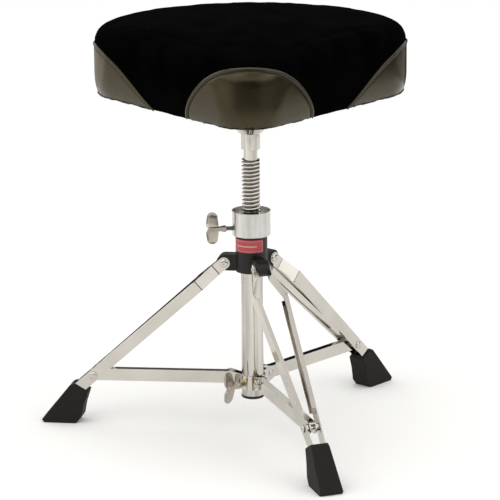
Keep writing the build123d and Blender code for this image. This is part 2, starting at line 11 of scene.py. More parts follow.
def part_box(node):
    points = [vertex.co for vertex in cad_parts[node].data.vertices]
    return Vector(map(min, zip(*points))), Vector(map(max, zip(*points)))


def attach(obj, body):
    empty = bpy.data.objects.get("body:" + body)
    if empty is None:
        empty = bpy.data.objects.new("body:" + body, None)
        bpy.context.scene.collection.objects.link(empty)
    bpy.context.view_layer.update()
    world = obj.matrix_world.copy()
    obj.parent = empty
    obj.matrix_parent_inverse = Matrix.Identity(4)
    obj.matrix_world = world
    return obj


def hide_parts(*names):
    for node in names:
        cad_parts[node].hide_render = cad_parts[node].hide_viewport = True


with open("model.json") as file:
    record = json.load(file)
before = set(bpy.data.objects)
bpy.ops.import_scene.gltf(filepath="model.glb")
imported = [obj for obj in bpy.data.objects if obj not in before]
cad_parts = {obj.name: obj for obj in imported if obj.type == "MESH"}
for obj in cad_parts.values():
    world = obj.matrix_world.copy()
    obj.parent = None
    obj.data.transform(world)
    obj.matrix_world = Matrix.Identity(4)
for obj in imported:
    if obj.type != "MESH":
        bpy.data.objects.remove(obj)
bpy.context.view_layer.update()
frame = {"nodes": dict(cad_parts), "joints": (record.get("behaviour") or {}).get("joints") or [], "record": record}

MM = 0.001
UP = Vector((0, 0, 1))


# ---- Places read from the frame -----------------------------------------------------
def box_centre(node):
    low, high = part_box(node)
    return (low + high) / 2


def joint_axis(name):
    return Vector(next(joint["axis"] for joint in frame["joints"] if joint["name"] == name))


def world_vertices(*nodes):
    return [vertex.co.copy() for name in nodes for vertex in frame["nodes"][name].data.vertices]


def surface_of(objects):
    """One searchable surface over several mesh objects."""
    vertices, polygons = [], []
    for item in objects:
        start = len(vertices)
        vertices += [item.matrix_world @ v.co for v in item.data.vertices]
        polygons += [tuple(start + k for k in p.vertices) for p in item.data.polygons]
    return BVHTree.FromPolygons(vertices, polygons)


COLUMN = Vector((box_centre("base_tube").x, box_centre("base_tube").y, 0))
SEAT_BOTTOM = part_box("seat_cover_top")[0].z
SEAT_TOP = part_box("seat_cover_top")[1].z


# ---- Materials ----------------------------------------------------------------------
def new_material(name):
    material = bpy.data.materials.new(name)
    material.use_nodes = True
    nodes, links = material.node_tree.nodes, material.node_tree.links
    return material, nodes, links, nodes["Principled BSDF"]


def object_coords(nodes, links, scale=(1, 1, 1)):
    coords = nodes.new("ShaderNodeTexCoord")
    mapping = nodes.new("ShaderNodeMapping")
    mapping.inputs["Scale"].default_value = scale
    links.new(coords.outputs["Object"], mapping.inputs["Vector"])
    return mapping.outputs["Vector"]


def noise_texture(nodes, links, scale, detail=3.0, stretch=(1, 1, 1)):
    texture = nodes.new("ShaderNodeTexNoise")
    texture.inputs["Scale"].default_value = scale
    texture.inputs["Detail"].default_value = detail
    links.new(object_coords(nodes, links, stretch), texture.inputs["Vector"])
    return texture.outputs["Fac"]


def colour_between(nodes, links, value, dark, light, low=0.35, high=0.65):
    ramp = nodes.new("ShaderNodeValToRGB")
    ramp.color_ramp.elements[0].position = low
    ramp.color_ramp.elements[0].color = (*dark, 1)
    ramp.color_ramp.elements[1].position = high
    ramp.color_ramp.elements[1].color = (*light, 1)
    links.new(value, ramp.inputs["Fac"])
    return ramp.outputs["Color"]


def number_between(nodes, links, value, low, high):
    spread = nodes.new("ShaderNodeMapRange")
    spread.inputs["From Min"].default_value = 0.3
    spread.inputs["From Max"].default_value = 0.7
    spread.inputs["To Min"].default_value = low
    spread.inputs["To Max"].default_value = high
    links.new(value, spread.inputs["Value"])
    return spread.outputs["Result"]


def bump(nodes, links, shader, height, strength, depth, below=None):
    node = nodes.new("ShaderNodeBump")
    node.inputs["Strength"].default_value = strength
    node.inputs["Distance"].default_value = depth
    links.new(height, node.inputs["Height"])
    if below is not None:
        links.new(below, node.inputs["Normal"])
    links.new(node.outputs["Normal"], shader.inputs["Normal"])
    return node.outputs["Normal"]


def soft_edges(nodes, radius):
    """Rounds the metal's corners by a fraction of a millimetre for the light only."""
    node = nodes.new("ShaderNodeBevel")
    node.samples = 4
    node.inputs["Radius"].default_value = radius
    return node.outputs["Normal"]


def metal(name, dark, light, roughness, grain_scale, grain, stretch=(1, 1, 1), edge=0.4 * MM,
          cloud_scale=18.0, cloud_stretch=(1, 1, 1)):
    """Metal with uneven polish and a faint grain."""
    material, nodes, links, shader = new_material(name)
    shader.inputs["Metallic"].default_value = 1.0
    cloud = noise_texture(nodes, links, cloud_scale, 3.0, cloud_stretch)
    links.new(colour_between(nodes, links, cloud, dark, light), shader.inputs["Base Color"])
    smudge = noise_texture(nodes, links, 60.0, 5.0)
    links.new(number_between(nodes, links, smudge, *roughness), shader.inputs["Roughness"])
    fine = noise_texture(nodes, links, grain_scale, 2.0, stretch)
    bump(nodes, links, shader, fine, grain, 0.05 * MM, soft_edges(nodes, edge))
    return material


def plastic(name, dark, light, roughness, grain_scale, grain, depth=0.06 * MM, gloss=0.5):
    """Moulded plastic, rubber, foam or print: a little cloudy, with a fine moulded grain."""
    material, nodes, links, shader = new_material(name)
    cloud = noise_texture(nodes, links, 40.0, 4.0)
    links.new(colour_between(nodes, links, cloud, dark, light), shader.inputs["Base Color"])
    links.new(number_between(nodes, links, cloud, *roughness), shader.inputs["Roughness"])
    shader.inputs["Specular IOR Level"].default_value = gloss
    fine = noise_texture(nodes, links, grain_scale, 3.0)
    bump(nodes, links, shader, fine, grain, depth, soft_edges(nodes, 0.6 * MM))
    return material


def velour():
    """Short black pile, brushed into faint patches."""
    material, nodes, links, shader = new_material("black_velour")
    nap = noise_texture(nodes, links, 26.0, 4.0)
    colour = colour_between(nodes, links, nap, (0.0006, 0.0006, 0.0006), (0.0016, 0.0016, 0.0016))
    links.new(colour, shader.inputs["Base Color"])
    shader.inputs["Roughness"].default_value = 1.0
    shader.inputs["Specular IOR Level"].default_value = 0.0
    shader.inputs["Sheen Weight"].default_value = 0.006
    shader.inputs["Sheen Roughness"].default_value = 0.4
    pile = noise_texture(nodes, links, 1500.0, 2.0)
    brushed = noise_texture(nodes, links, 120.0, 3.0)
    first = bump(nodes, links, shader, brushed, 0.25, 0.5 * MM)
    bump(nodes, links, shader, pile, 0.8, 0.35 * MM, first)
    return material


def vinyl():
    """Brown-black vinyl with a pebbled grain and soft creases."""
    material, nodes, links, shader = new_material("brown_black_vinyl")
    cloud = noise_texture(nodes, links, 30.0, 4.0)
    links.new(colour_between(nodes, links, cloud, (0.0046, 0.0040, 0.0026), (0.0078, 0.0067, 0.0042)),
              shader.inputs["Base Color"])
    links.new(number_between(nodes, links, cloud, 0.20, 0.28), shader.inputs["Roughness"])
    shader.inputs["Specular IOR Level"].default_value = 0.58
    shader.inputs["Specular Tint"].default_value = (1.0, 0.86, 0.50, 1)
    grain = nodes.new("ShaderNodeTexVoronoi")
    grain.feature = "DISTANCE_TO_EDGE"
    grain.inputs["Scale"].default_value = 620.0
    links.new(object_coords(nodes, links), grain.inputs["Vector"])
    pebble = colour_between(nodes, links, grain.outputs["Distance"], (0, 0, 0), (1, 1, 1), 0.02, 0.22)
    creases = noise_texture(nodes, links, 90.0, 5.0)
    first = bump(nodes, links, shader, creases, 0.2, 0.4 * MM)
    bump(nodes, links, shader, pebble, 0.25, 0.1 * MM, first)
    return material


def thread_yarn():
    """Twisted sewing thread."""
    material, nodes, links, shader = new_material("stitch_yarn")
    twist = nodes.new("ShaderNodeTexWave")
    twist.inputs["Scale"].default_value = 900.0
    twist.inputs["Distortion"].default_value = 1.0
    links.new(object_coords(nodes, links), twist.inputs["Vector"])
    dark, light = (0.0015, 0.0013, 0.001), (0.005, 0.0045, 0.0035)
    links.new(colour_between(nodes, links, twist.outputs["Fac"], dark, light), shader.inputs["Base Color"])
    shader.inputs["Roughness"].default_value = 0.6
    bump(nodes, links, shader, twist.outputs["Fac"], 0.4, 0.1 * MM)
    return material


def woven(name, dark, light, scale):
    """Plain weave: two crossed sets of threads."""
    material, nodes, links, shader = new_material(name)
    height = None
    for stretch in ((1, 0.02, 0.02), (0.02, 1, 0.02)):
        wave = nodes.new("ShaderNodeTexWave")
        wave.inputs["Scale"].default_value = scale
        wave.inputs["Distortion"].default_value = 0.6
        links.new(object_coords(nodes, links, stretch), wave.inputs["Vector"])
        if height is None:
            height = wave.outputs["Fac"]
        else:
            crossed = nodes.new("ShaderNodeMath")
            crossed.operation = "MULTIPLY"
            links.new(height, crossed.inputs[0])
            links.new(wave.outputs["Fac"], crossed.inputs[1])
            height = crossed.outputs[0]
    links.new(colour_between(nodes, links, height, dark, light), shader.inputs["Base Color"])
    shader.inputs["Roughness"].default_value = 0.95
    bump(nodes, links, shader, height, 0.5, 0.2 * MM)
    return material


def plywood():
    """Bare plywood with its grain along Y."""
    material, nodes, links, shader = new_material("plywood")
    grain = noise_texture(nodes, links, 60.0, 6.0, (1, 0.08, 1))
    links.new(colour_between(nodes, links, grain, (0.34, 0.21, 0.10), (0.62, 0.45, 0.26)),
              shader.inputs["Base Color"])
    shader.inputs["Roughness"].default_value = 0.7
    bump(nodes, links, shader, grain, 0.3, 0.2 * MM)
    return material


# Colours are the darkest and lightest shade of each material, then its lowest and highest
# roughness, the fineness of its grain and the grain's strength.
MATERIALS = {
    "chrome": metal("chrome", (0.540, 0.514, 0.470), (0.605, 0.577, 0.530), (0.03, 0.09), 900.0, 0.03),
    "zinc_steel": metal("zinc_steel", (0.42, 0.42, 0.41), (0.60, 0.59, 0.56), (0.22, 0.38), 700.0, 0.2),
    "satin_aluminium": metal("satin_aluminium", (0.56, 0.553, 0.53), (0.70, 0.692, 0.665), (0.2, 0.3),
                             1400.0, 0.25, (0.05, 0.05, 1), cloud_scale=150.0, cloud_stretch=(1, 1, 0.04)),
    "brass": metal("brass", (0.52, 0.36, 0.13), (0.68, 0.50, 0.22), (0.18, 0.32), 800.0, 0.2),
    "black_nylon": plastic("black_nylon", (0.0050, 0.0040, 0.0030), (0.0085, 0.0068, 0.0052), (0.4, 0.55),
                           1500.0, 0.5, gloss=0.35),
    "white_nylon": plastic("white_nylon", (0.62, 0.60, 0.54), (0.72, 0.70, 0.64), (0.4, 0.55), 900.0, 0.3),
    "black_rubber": plastic("black_rubber", (0.007, 0.006, 0.0045), (0.012, 0.0105, 0.008), (0.55, 0.75),
                            1100.0, 0.7, 0.1 * MM, 0.2),
    "red_badge": plastic("red_badge", (0.36, 0.035, 0.045), (0.46, 0.05, 0.06), (0.16, 0.26), 500.0, 0.08),
    "black_velour": velour(),
    "brown_black_vinyl": vinyl(),
    "foam": plastic("foam", (0.55, 0.50, 0.32), (0.7, 0.64, 0.42), (0.9, 1.0), 900.0, 1.0, 0.5 * MM, 0.1),
    "plywood": plywood(),
    "dust_cloth": woven("dust_cloth", (0.006, 0.006, 0.006), (0.016, 0.016, 0.016), 380.0),
}
STITCH_YARN = thread_yarn()
# The height screw's thread metal; painted shade is added to its thread root further down.
ROOT_SHADED_THREAD = metal("root_shaded_thread", (0.62, 0.595, 0.555), (0.68, 0.655, 0.61), (0.05, 0.14), 900.0, 0.05)
DRAWN_CHROME = metal("drawn_chrome", (0.42, 0.40, 0.365), (0.70, 0.67, 0.62), (0.03, 0.10), 900.0, 0.03,
                     cloud_scale=170.0, cloud_stretch=(1, 1, 0.03))
CAST_NICKEL = metal("cast_nickel", (0.40, 0.365, 0.315), (0.50, 0.46, 0.40), (0.16, 0.28), 700.0, 0.2)
# Colour of the painted shade in the height screw's thread root, standing in for the shade that falls in the
# grooves.
ROOT_SHADE = (0.17, 0.16, 0.135)
DARK_THREAD = metal("dark_thread", (0.16, 0.18, 0.165), (0.26, 0.28, 0.26), (0.2, 0.35), 700.0, 0.1)
CREAM_PRINT = plastic("cream_print", (0.50, 0.40, 0.31), (0.62, 0.50, 0.40), (0.25, 0.35), 500.0, 0.1)


def paint_root_shade(material, root, crest):
    """Painted shade in a thread's root: dark up to the root radius, unshaded from the crest radius out."""
    nodes, links = material.node_tree.nodes, material.node_tree.links
    base = nodes["Principled BSDF"].inputs["Base Color"]
    unshaded = base.links[0].from_socket
    coords = nodes.new("ShaderNodeTexCoord")
    centred = nodes.new("ShaderNodeVectorMath")
    centred.operation = "MULTIPLY_ADD"
    centred.inputs[1].default_value = (1, 1, 0)
    centred.inputs[2].default_value = -COLUMN
    links.new(coords.outputs["Object"], centred.inputs[0])
    length = nodes.new("ShaderNodeVectorMath")
    length.operation = "LENGTH"
    links.new(centred.outputs["Vector"], length.inputs[0])
    depth = nodes.new("ShaderNodeMapRange")
    depth.inputs["From Min"].default_value = root
    depth.inputs["From Max"].default_value = crest
    links.new(length.outputs["Value"], depth.inputs["Value"])
    # A is the painted shade colour, B the metal's own colour.
    mix = nodes.new("ShaderNodeMix")
    mix.data_type = "RGBA"
    mix.inputs["A"].default_value = (*ROOT_SHADE, 1)
    links.new(depth.outputs["Result"], mix.inputs["Factor"])
    links.new(unshaded, mix.inputs["B"])
    links.new(mix.outputs["Result"], base)


DRAWN_NODES = ("base_tube", "seat_socket")


def paint_cad_nodes():
    """Every carried-over CAD node takes the material of its slot; drawn tubes show long streaks."""
    slots = {part["node"]: part["material_slot"] for part in frame["record"]["subparts"]}
    for name, node in frame["nodes"].items():
        node.data.materials.clear()
        node.data.materials.append(DRAWN_CHROME if name in DRAWN_NODES else MATERIALS[slots[name]])


# ---- Making pieces ------------------------------------------------------------------
def add_piece(name, vertices, faces, body, slot, material=None, smooth=True):
    mesh = bpy.data.meshes.new(name)
    mesh.from_pydata(vertices, [], faces)
    mesh.validate()
    bm = bmesh.new()
    bm.from_mesh(mesh)
    bmesh.ops.recalc_face_normals(bm, faces=bm.faces)
    bm.to_mesh(mesh)
    bm.free()
    mesh.polygons.foreach_set("use_smooth", [smooth] * len(mesh.polygons))
    mesh.materials.append(material or MATERIALS[slot])
    piece = bpy.data.objects.new(name, mesh)
    bpy.context.scene.collection.objects.link(piece)
    if body:
        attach(piece, body)
    return piece


def stack_rings(rings, cap_start=True, cap_end=True, closed=True):
    """Vertices and faces of a skin over rings of points, all of the same length."""
    count = len(rings[0])
    vertices = [point for ring in rings for point in ring]
    faces = []
    for level in range(len(rings) - 1):
        for k in range(count if closed else count - 1):
            after = (k + 1) % count
            a, b = level * count, (level + 1) * count
            faces.append((a + k, a + after, b + after, b + k))
    if cap_start:
        faces.append(tuple(reversed(range(count))))
    if cap_end:
        faces.append(tuple(range(len(vertices) - count, len(vertices))))
    return vertices, faces


def evenly_spaced(corners, count):
    """Points at equal distances round a closed outline, and that distance."""
    corners = corners + corners[:1]
    lengths = [0.0]
    for a, b in zip(corners, corners[1:]):
        lengths.append(lengths[-1] + (b - a).length)
    spacing = lengths[-1] / count
    points = []
    leg = 0
    for k in range(count):
        while lengths[leg + 1] < k * spacing:
            leg += 1
        part = (k * spacing - lengths[leg]) / (lengths[leg + 1] - lengths[leg])
        points.append(corners[leg].lerp(corners[leg + 1], part))
    return points, spacing


def subdivide(piece, levels=1):
    modifier = piece.modifiers.new("smooth", "SUBSURF")
    modifier.levels = levels
    modifier.render_levels = levels


def thicken(piece, thickness):
    modifier = piece.modifiers.new("thickness", "SOLIDIFY")
    modifier.thickness = thickness
    modifier.offset = -1


def apply_modifiers(piece):
    """Puts the shape that the modifiers give into the piece's own mesh."""
    depsgraph = bpy.context.evaluated_depsgraph_get()
    mesh = bpy.data.meshes.new_from_object(piece.evaluated_get(depsgraph))
    old = piece.data
    piece.modifiers.clear()
    piece.data = mesh
    bpy.data.meshes.remove(old)


def turned_body(profile, segments=96):
    """Solid of revolution about Z from (radius, height) points, closed at both ends."""
    rings = [[(radius * cos(tau * k / segments), radius * sin(tau * k / segments), height)
              for k in range(segments)] for radius, height in profile]
    return stack_rings(rings)


def joined(*solids):
    """Several solids, each as vertices and faces, made into one list of each."""
    vertices, faces = [], []
    for more, more_faces in solids:
        faces += [tuple(k + len(vertices) for k in face) for face in more_faces]
        vertices += [Vector(v) for v in more]
    return vertices, faces


def flat_edges(piece, corner=radians(35)):
    """Smooth shading that stops at every edge turning by more than the corner angle."""
    bm = bmesh.new()
    bm.from_mesh(piece.data)
    for edge in bm.edges:
        if len(edge.link_faces) == 2:
            edge.smooth = edge.calc_face_angle(0.0) < corner
    bm.to_mesh(piece.data)
    bm.free()


# ---- Camera, floor and light --------------------------------------------------------
# The camera was fitted to the photograph: distances in metres from the column's foot.
CAMERA_BACK = 3.7194
CAMERA_HEIGHT = 1.2445
CAMERA_PITCH = radians(15.10)
CAMERA_YAW = radians(0.03)
CAMERA_ROLL = radians(-0.56)
CAMERA_LENS = 215.96
STUDIO_STRENGTH = 0.96

# The room is a white tent. BAND is its bright band above the horizon, which is dimmer straight in
# front of the object, TOP is overhead, and LOW is what lies below the horizon, past the floor.
TENT_LOW = (1.06, 0.98, 0.82)
TENT_BAND = (1.62, 1.62, 1.60)
TENT_BAND_IN_FRONT = (1.06, 1.07, 1.08)
TENT_TOP = (0.97, 0.96, 0.94)
TENT_GAP = (0.012, 0.011, 0.010)

# A fade (axis, start, end) goes from 0 at start to 1 at end along one axis of the direction that
# light comes from. X is to the right, Y away from the camera and Z up.
BAND_FADE = ("Z", -0.02, 0.14)
TOP_FADE = ("Z", 0.40, 0.60)
IN_FRONT = (("Y", -0.6, -0.85), ("X", 0.68, 0.5))
IN_FRONT_SHARE = 0.65
FAR = (("Y", 0.70, 0.90), ("Z", -0.36, -0.26), ("Z", 0.42, 0.27))
LOW = ("Z", 0.10, 0.02)

# Dark gaps in the tent: the fades that bound each one, and how dark it is.
GAPS = {
    "behind": ((*FAR, ("X", -0.42, -0.15)), 1.0),
    "behind_left": (FAR, 0.35),
    "low_in_front": ((("Y", -0.50, -0.80), ("X", 0.72, 0.52), LOW), 1.0),
    "straight_in_front": (
        (("Y", -0.80, -0.90), ("X", -0.42, -0.32), ("X", 0.42, 0.32), ("Z", 0.20, 0.15)), 1.0),
    "low_right": ((("X", 0.50, 0.75), LOW), 0.75),
    "high_right": ((("X", 0.80, 0.92), ("Y", -0.40, 0.0), ("Z", 0.42, 0.28)), 0.85),
    "horizon": ((("Z", -0.05, -0.02), ("Z", 0.06, 0.03)), 0.8),
}

FLOOR_R = 1.76
FLOOR_POINTS = 96
FLOOR_DROP = 0.2 * MM
FLOOR_COLOUR = (0.95, 0.95, 0.945)

# Softboxes: place from the column's foot, width and power.
SOFTBOXES = {
    "key_softbox": ((-1.6, -2.2, 3.0), 2.0, 12.0),
    "fill_softbox": ((2.4, -1.2, 2.2), 1.8, 6.0),
    "top_softbox": ((0.0, 0.4, 3.4), 2.6, 14.0),
}
SOFTBOX_COLOUR = (1.0, 0.99, 0.97)
SOFTBOX_AIM = Vector((0, 0, 0.25))


def make_camera():
    data = bpy.data.cameras.new("camera")
    data.lens = CAMERA_LENS
    data.sensor_width = 36
    data.clip_start = 0.05
    data.clip_end = 60
    camera = bpy.data.objects.new("camera", data)
    bpy.context.scene.collection.objects.link(camera)
    turn = Matrix.Rotation(CAMERA_YAW, 4, "Z") @ Matrix.Rotation(pi / 2 - CAMERA_PITCH, 4, "X")
    turn = turn @ Matrix.Rotation(CAMERA_ROLL, 4, "Z")
    camera.matrix_world = Matrix.Translation(COLUMN + Vector((0, -CAMERA_BACK, CAMERA_HEIGHT))) @ turn
    bpy.context.scene.camera = camera


def make_world():
    """A white tent with dark gaps, for the reflections; the camera itself sees plain white."""
    world = bpy.data.worlds.new("studio")
    bpy.context.scene.world = world
    world.use_nodes = True
    nodes, links = world.node_tree.nodes, world.node_tree.links
    nodes.clear()
    coords = nodes.new("ShaderNodeTexCoord")
    split = nodes.new("ShaderNodeSeparateXYZ")
    links.new(coords.outputs["Generated"], split.inputs[0])

    def rise(axis, start, end):
        """0 before start and 1 past end along one axis of the direction, either way round."""
        node = nodes.new("ShaderNodeMapRange")
        node.interpolation_type = "SMOOTHSTEP"
        node.inputs["From Min"].default_value = min(start, end)
        node.inputs["From Max"].default_value = max(start, end)
        node.inputs["To Min"].default_value = 0.0 if start < end else 1.0
        node.inputs["To Max"].default_value = 1.0 if start < end else 0.0
        links.new(split.outputs[axis], node.inputs["Value"])
        return node.outputs["Result"]

    def combine(operation, first, second):
        """One sum on two numbers; each may be a plain number or a node's output."""
        node = nodes.new("ShaderNodeMath")
        node.operation = operation
        for socket, value in zip(node.inputs, (first, second)):
            if isinstance(value, float):
                socket.default_value = value
            else:
                links.new(value, socket)
        return node.outputs[0]

    def inside(fades, share):
        """share where every fade is 1, and less where one of them has not risen yet."""
        product = share
        for fade in fades:
            product = combine("MULTIPLY", rise(*fade), product)
        return product

    def blend(amount, plain, changed):
        """Colour that goes from plain to changed; either may be a colour or a node's output."""
        node = nodes.new("ShaderNodeMix")
        node.data_type = "RGBA"
        for name, colour in (("A", plain), ("B", changed)):
            if isinstance(colour, tuple):
                node.inputs[name].default_value = (*colour, 1)
            else:
                links.new(colour, node.inputs[name])
        links.new(amount, node.inputs["Factor"])
        return node.outputs["Result"]

    dark = 0.0
    for fades, darkness in GAPS.values():
        dark = combine("MAXIMUM", inside(fades, darkness), dark)
    band = blend(inside(IN_FRONT, IN_FRONT_SHARE), TENT_BAND, TENT_BAND_IN_FRONT)
    band = blend(rise(*BAND_FADE), TENT_LOW, band)
    tent = blend(rise(*TOP_FADE), band, TENT_TOP)
    studio = nodes.new("ShaderNodeBackground")
    studio.inputs["Strength"].default_value = STUDIO_STRENGTH
    links.new(blend(dark, tent, TENT_GAP), studio.inputs["Color"])
    plain = nodes.new("ShaderNodeBackground")
    plain.inputs["Color"].default_value = (1, 1, 1, 1)
    path = nodes.new("ShaderNodeLightPath")
    mix = nodes.new("ShaderNodeMixShader")
    links.new(path.outputs["Is Camera Ray"], mix.inputs["Fac"])
    links.new(studio.outputs[0], mix.inputs[1])
    links.new(plain.outputs[0], mix.inputs[2])
    out = nodes.new("ShaderNodeOutputWorld")
    links.new(mix.outputs[0], out.inputs["Surface"])


def make_floor():
    mesh = bpy.data.meshes.new("floor")
    angles = [tau * k / FLOOR_POINTS for k in range(FLOOR_POINTS)]
    rim = [COLUMN + Vector((FLOOR_R * cos(angle), FLOOR_R * sin(angle), -FLOOR_DROP)) for angle in angles]
    mesh.from_pydata(rim, [], [tuple(range(FLOOR_POINTS))])
    floor = bpy.data.objects.new("floor", mesh)
    bpy.context.scene.collection.objects.link(floor)
    material, nodes, links, shader = new_material("floor")
    shader.inputs["Base Color"].default_value = (*FLOOR_COLOUR, 1)
    shader.inputs["Roughness"].default_value = 0.9
    shader.inputs["Specular IOR Level"].default_value = 0.0
    mesh.materials.append(material)


def make_lights():
    for name, (place, size, power) in SOFTBOXES.items():
        data = bpy.data.lights.new(name, "AREA")
        data.size = size
        data.energy = power
        data.color = SOFTBOX_COLOUR
        light = bpy.data.objects.new(name, data)
        bpy.context.scene.collection.objects.link(light)
        light.location = COLUMN + Vector(place)
        aim = COLUMN + SOFTBOX_AIM - light.location
        light.rotation_mode = "QUATERNION"
        light.rotation_quaternion = aim.to_track_quat("-Z", "Y")


# ---- Seat cushion -------------------------------------------------------------------
OUTLINE_POINTS = 192
TOP_EDGE_R = 22 * MM

# How far off a surface a ray starts when it looks for that surface.
RAY_START = 60 * MM
COVER_NODES = ("seat_cover_top", "seat_patch_front", "seat_patch_left", "seat_patch_right")


class Saddle:
    """The seat's form read from the frame: its plan, its rim heights and its crowned top."""

    def __init__(self):
        points = [v.xy for v in world_vertices(*COVER_NODES)]
        corners = [points[k] for k in convex_hull_2d(points)]
        nose = min(range(len(corners)), key=lambda k: corners[k].y)
        corners = corners[nose:] + corners[:nose]
        if corners[1].x < corners[0].x:
            corners = corners[:1] + corners[:0:-1]
        self.shape = surface_of([frame["nodes"][name] for name in COVER_NODES])
        self.outline, self.spacing = evenly_spaced(corners, OUTLINE_POINTS)
        self.outward = [self.outward_at(k) for k in range(OUTLINE_POINTS)]
        self.centre = sum(self.outline, Vector((0, 0))) / OUTLINE_POINTS
        self.rims = [self.top_at(self.inset(k, TOP_EDGE_R + 1 * MM)) for k in range(OUTLINE_POINTS)]

    def outward_at(self, k):
        """Direction square to the outline, taken over four steps of it."""
        along = self.outline[(k + 2) % OUTLINE_POINTS] - self.outline[k - 2]
        return Vector((along.y, -along.x)).normalized()

    def inset(self, k, amount):
        """The outline's point k moved in by an amount."""
        return self.outline[k] - self.outward[k] * amount

    def top_at(self, place):
        """Height of the crowned top over a place in plan."""
        hit = self.shape.ray_cast(Vector((place.x, place.y, SEAT_TOP + 0.1)), -UP)
        return hit[0].z

    def aim_at(self, along, up):
        """A point near the skin and the direction out of it, for a place given by its distance
        along the outline from the nose and its distance up the skin from the bottom edge."""
        place = along / self.spacing
        first = int(place // 1)
        part = place - first
        a, b = first % OUTLINE_POINTS, (first + 1) % OUTLINE_POINTS
        plan = self.outline[a].lerp(self.outline[b], part)
        out = self.outward[a].lerp(self.outward[b], part).normalized()
        rim = self.rims[a] + (self.rims[b] - self.rims[a]) * part
        side = rim - TOP_EDGE_R - SEAT_BOTTOM
        angle = min(max(up - side, 0.0) / TOP_EDGE_R, pi / 2)
        if angle == 0.0:
            return Vector((*plan, SEAT_BOTTOM + up)), Vector((*out, 0))
        beyond = max(up - side - TOP_EDGE_R * pi / 2, 0.0)
        turn = plan - out * (TOP_EDGE_R + beyond)
        return Vector((*turn, rim - TOP_EDGE_R)), Vector((*(out * cos(angle)), sin(angle)))


SIDE_LEVELS = 10
ROUND_LEVELS = 7
TOP_LEVELS = 20

# The side leans in by HEM_TUCK at the bottom edge, where the cover is pulled under the board.
HEM_TUCK = 5 * MM
HEM_TUCK_HEIGHT = 24 * MM

# Section of the turned-in hem, from under the board outwards: distance in from the bottom edge
# and height above it, both in mm, and how much of the hem's wave it takes.
HEM_PROFILE = ((13, -0.3, 0.0), (8, -1.0, 0.3), (3, -1.2, 0.9), (0.6, 0.4, 1.0), (0.1, 3.0, 0.8))
HEM_WAVE = 2.4 * MM
HEM_WAVE_HEIGHT = 16 * MM
HEM_WAVES_PER_METRE = 40.0

VOXEL = 4.5 * MM
SWELL_ROOM = 1.2 * MM
SWELL_REACH = 1.8 * MM
SWELL_RAMP = 40 * MM
SWELL_PRESSURE = 4.0
SWELL_FRAMES = 14
HELD_HEIGHT = 4 * MM
CLOTH_MASS = 0.3
CLOTH_STIFFNESS = 25
CLOTH_BENDING = 2


def hem_wave(place):
    """How far the turned-in cloth hangs below the bottom edge, unevenly round the seat."""
    return -HEM_WAVE * abs(noise.noise(Vector((place.x, place.y, 0)) * HEM_WAVES_PER_METRE))


def cushion_mesh(saddle, room):
    """Closed skin of the cushion: underside, side, rounded top edge and crowned top. It is
    smaller than the finished cushion by room, so that it can swell."""
    everywhere = range(OUTLINE_POINTS)
    waves = [hem_wave(saddle.outline[k]) for k in everywhere]
    rings = []
    for amount, height, share in HEM_PROFILE:
        inset, level = HEM_TUCK + amount * MM, SEAT_BOTTOM + height * MM
        rings.append([(*saddle.inset(k, inset), level + waves[k] * share) for k in everywhere])
    _, last_height, last_share = HEM_PROFILE[-1]
    start = last_height * MM
    for level in range(1, SIDE_LEVELS + 1):
        ring = []
        for k in everywhere:
            side = saddle.rims[k] - TOP_EDGE_R - SEAT_BOTTOM - start
            height = start + side * level / SIDE_LEVELS
            tucked = HEM_TUCK * max(0.0, 1 - height / HEM_TUCK_HEIGHT) ** 2
            lift = min(1.0, height / HEM_WAVE_HEIGHT)
            wave = waves[k] * (1 - lift) * last_share
            ring.append((*saddle.inset(k, tucked + room * lift), SEAT_BOTTOM + height + wave))
        rings.append(ring)
    for level in range(1, ROUND_LEVELS + 1):
        angle = pi / 2 * level / ROUND_LEVELS
        amount = room + TOP_EDGE_R * (1 - cos(angle))
        drop = room * sin(angle) + TOP_EDGE_R * (1 - sin(angle))
        rings.append([(*saddle.inset(k, amount), saddle.rims[k] - drop) for k in everywhere])
    for level in range(1, TOP_LEVELS):
        places = [saddle.inset(k, TOP_EDGE_R).lerp(saddle.centre, level / TOP_LEVELS) for k in everywhere]
        rings.append([(*place, saddle.top_at(place) - room) for place in places])
    return stack_rings(rings)


def remesh(piece, voxel):
    modifier = piece.modifiers.new("even_quads", "REMESH")
    modifier.mode = "VOXEL"
    modifier.voxel_size = voxel
    modifier.use_smooth_shade = True
    apply_modifiers(piece)


def swell(piece, held_below):
    """Lets the cover swell like a stretched skin over foam, then keeps what it moved outwards, up
    to SWELL_REACH and less near its fixed bottom edge."""
    start = [v.co.copy() for v in piece.data.vertices]
    outwards = [v.normal.copy() for v in piece.data.vertices]
    group = piece.vertex_groups.new(name="held")
    group.add([k for k, co in enumerate(start) if co.z < held_below], 1.0, "REPLACE")
    cloth = piece.modifiers.new("swell", "CLOTH")
    cloth.settings.quality = 5
    cloth.settings.mass = CLOTH_MASS
    cloth.settings.tension_stiffness = CLOTH_STIFFNESS
    cloth.settings.compression_stiffness = CLOTH_STIFFNESS
    cloth.settings.bending_stiffness = CLOTH_BENDING
    cloth.settings.use_pressure = True
    cloth.settings.uniform_pressure_force = SWELL_PRESSURE
    cloth.settings.vertex_group_mass = "held"
    cloth.settings.effector_weights.gravity = 0
    cloth.collision_settings.use_collision = False
    cloth.collision_settings.use_self_collision = False
    scene = bpy.context.scene
    for number in range(1, SWELL_FRAMES + 1):
        scene.frame_set(number)
    apply_modifiers(piece)
    for vertex, before, out in zip(piece.data.vertices, start, outwards):
        freedom = min(1.0, max(0.0, before.z - held_below) / SWELL_RAMP)
        most = SWELL_REACH * freedom * freedom * (3 - 2 * freedom)
        vertex.co = before + out * min(max((vertex.co - before).dot(out), 0.0), most)
    scene.frame_set(1)


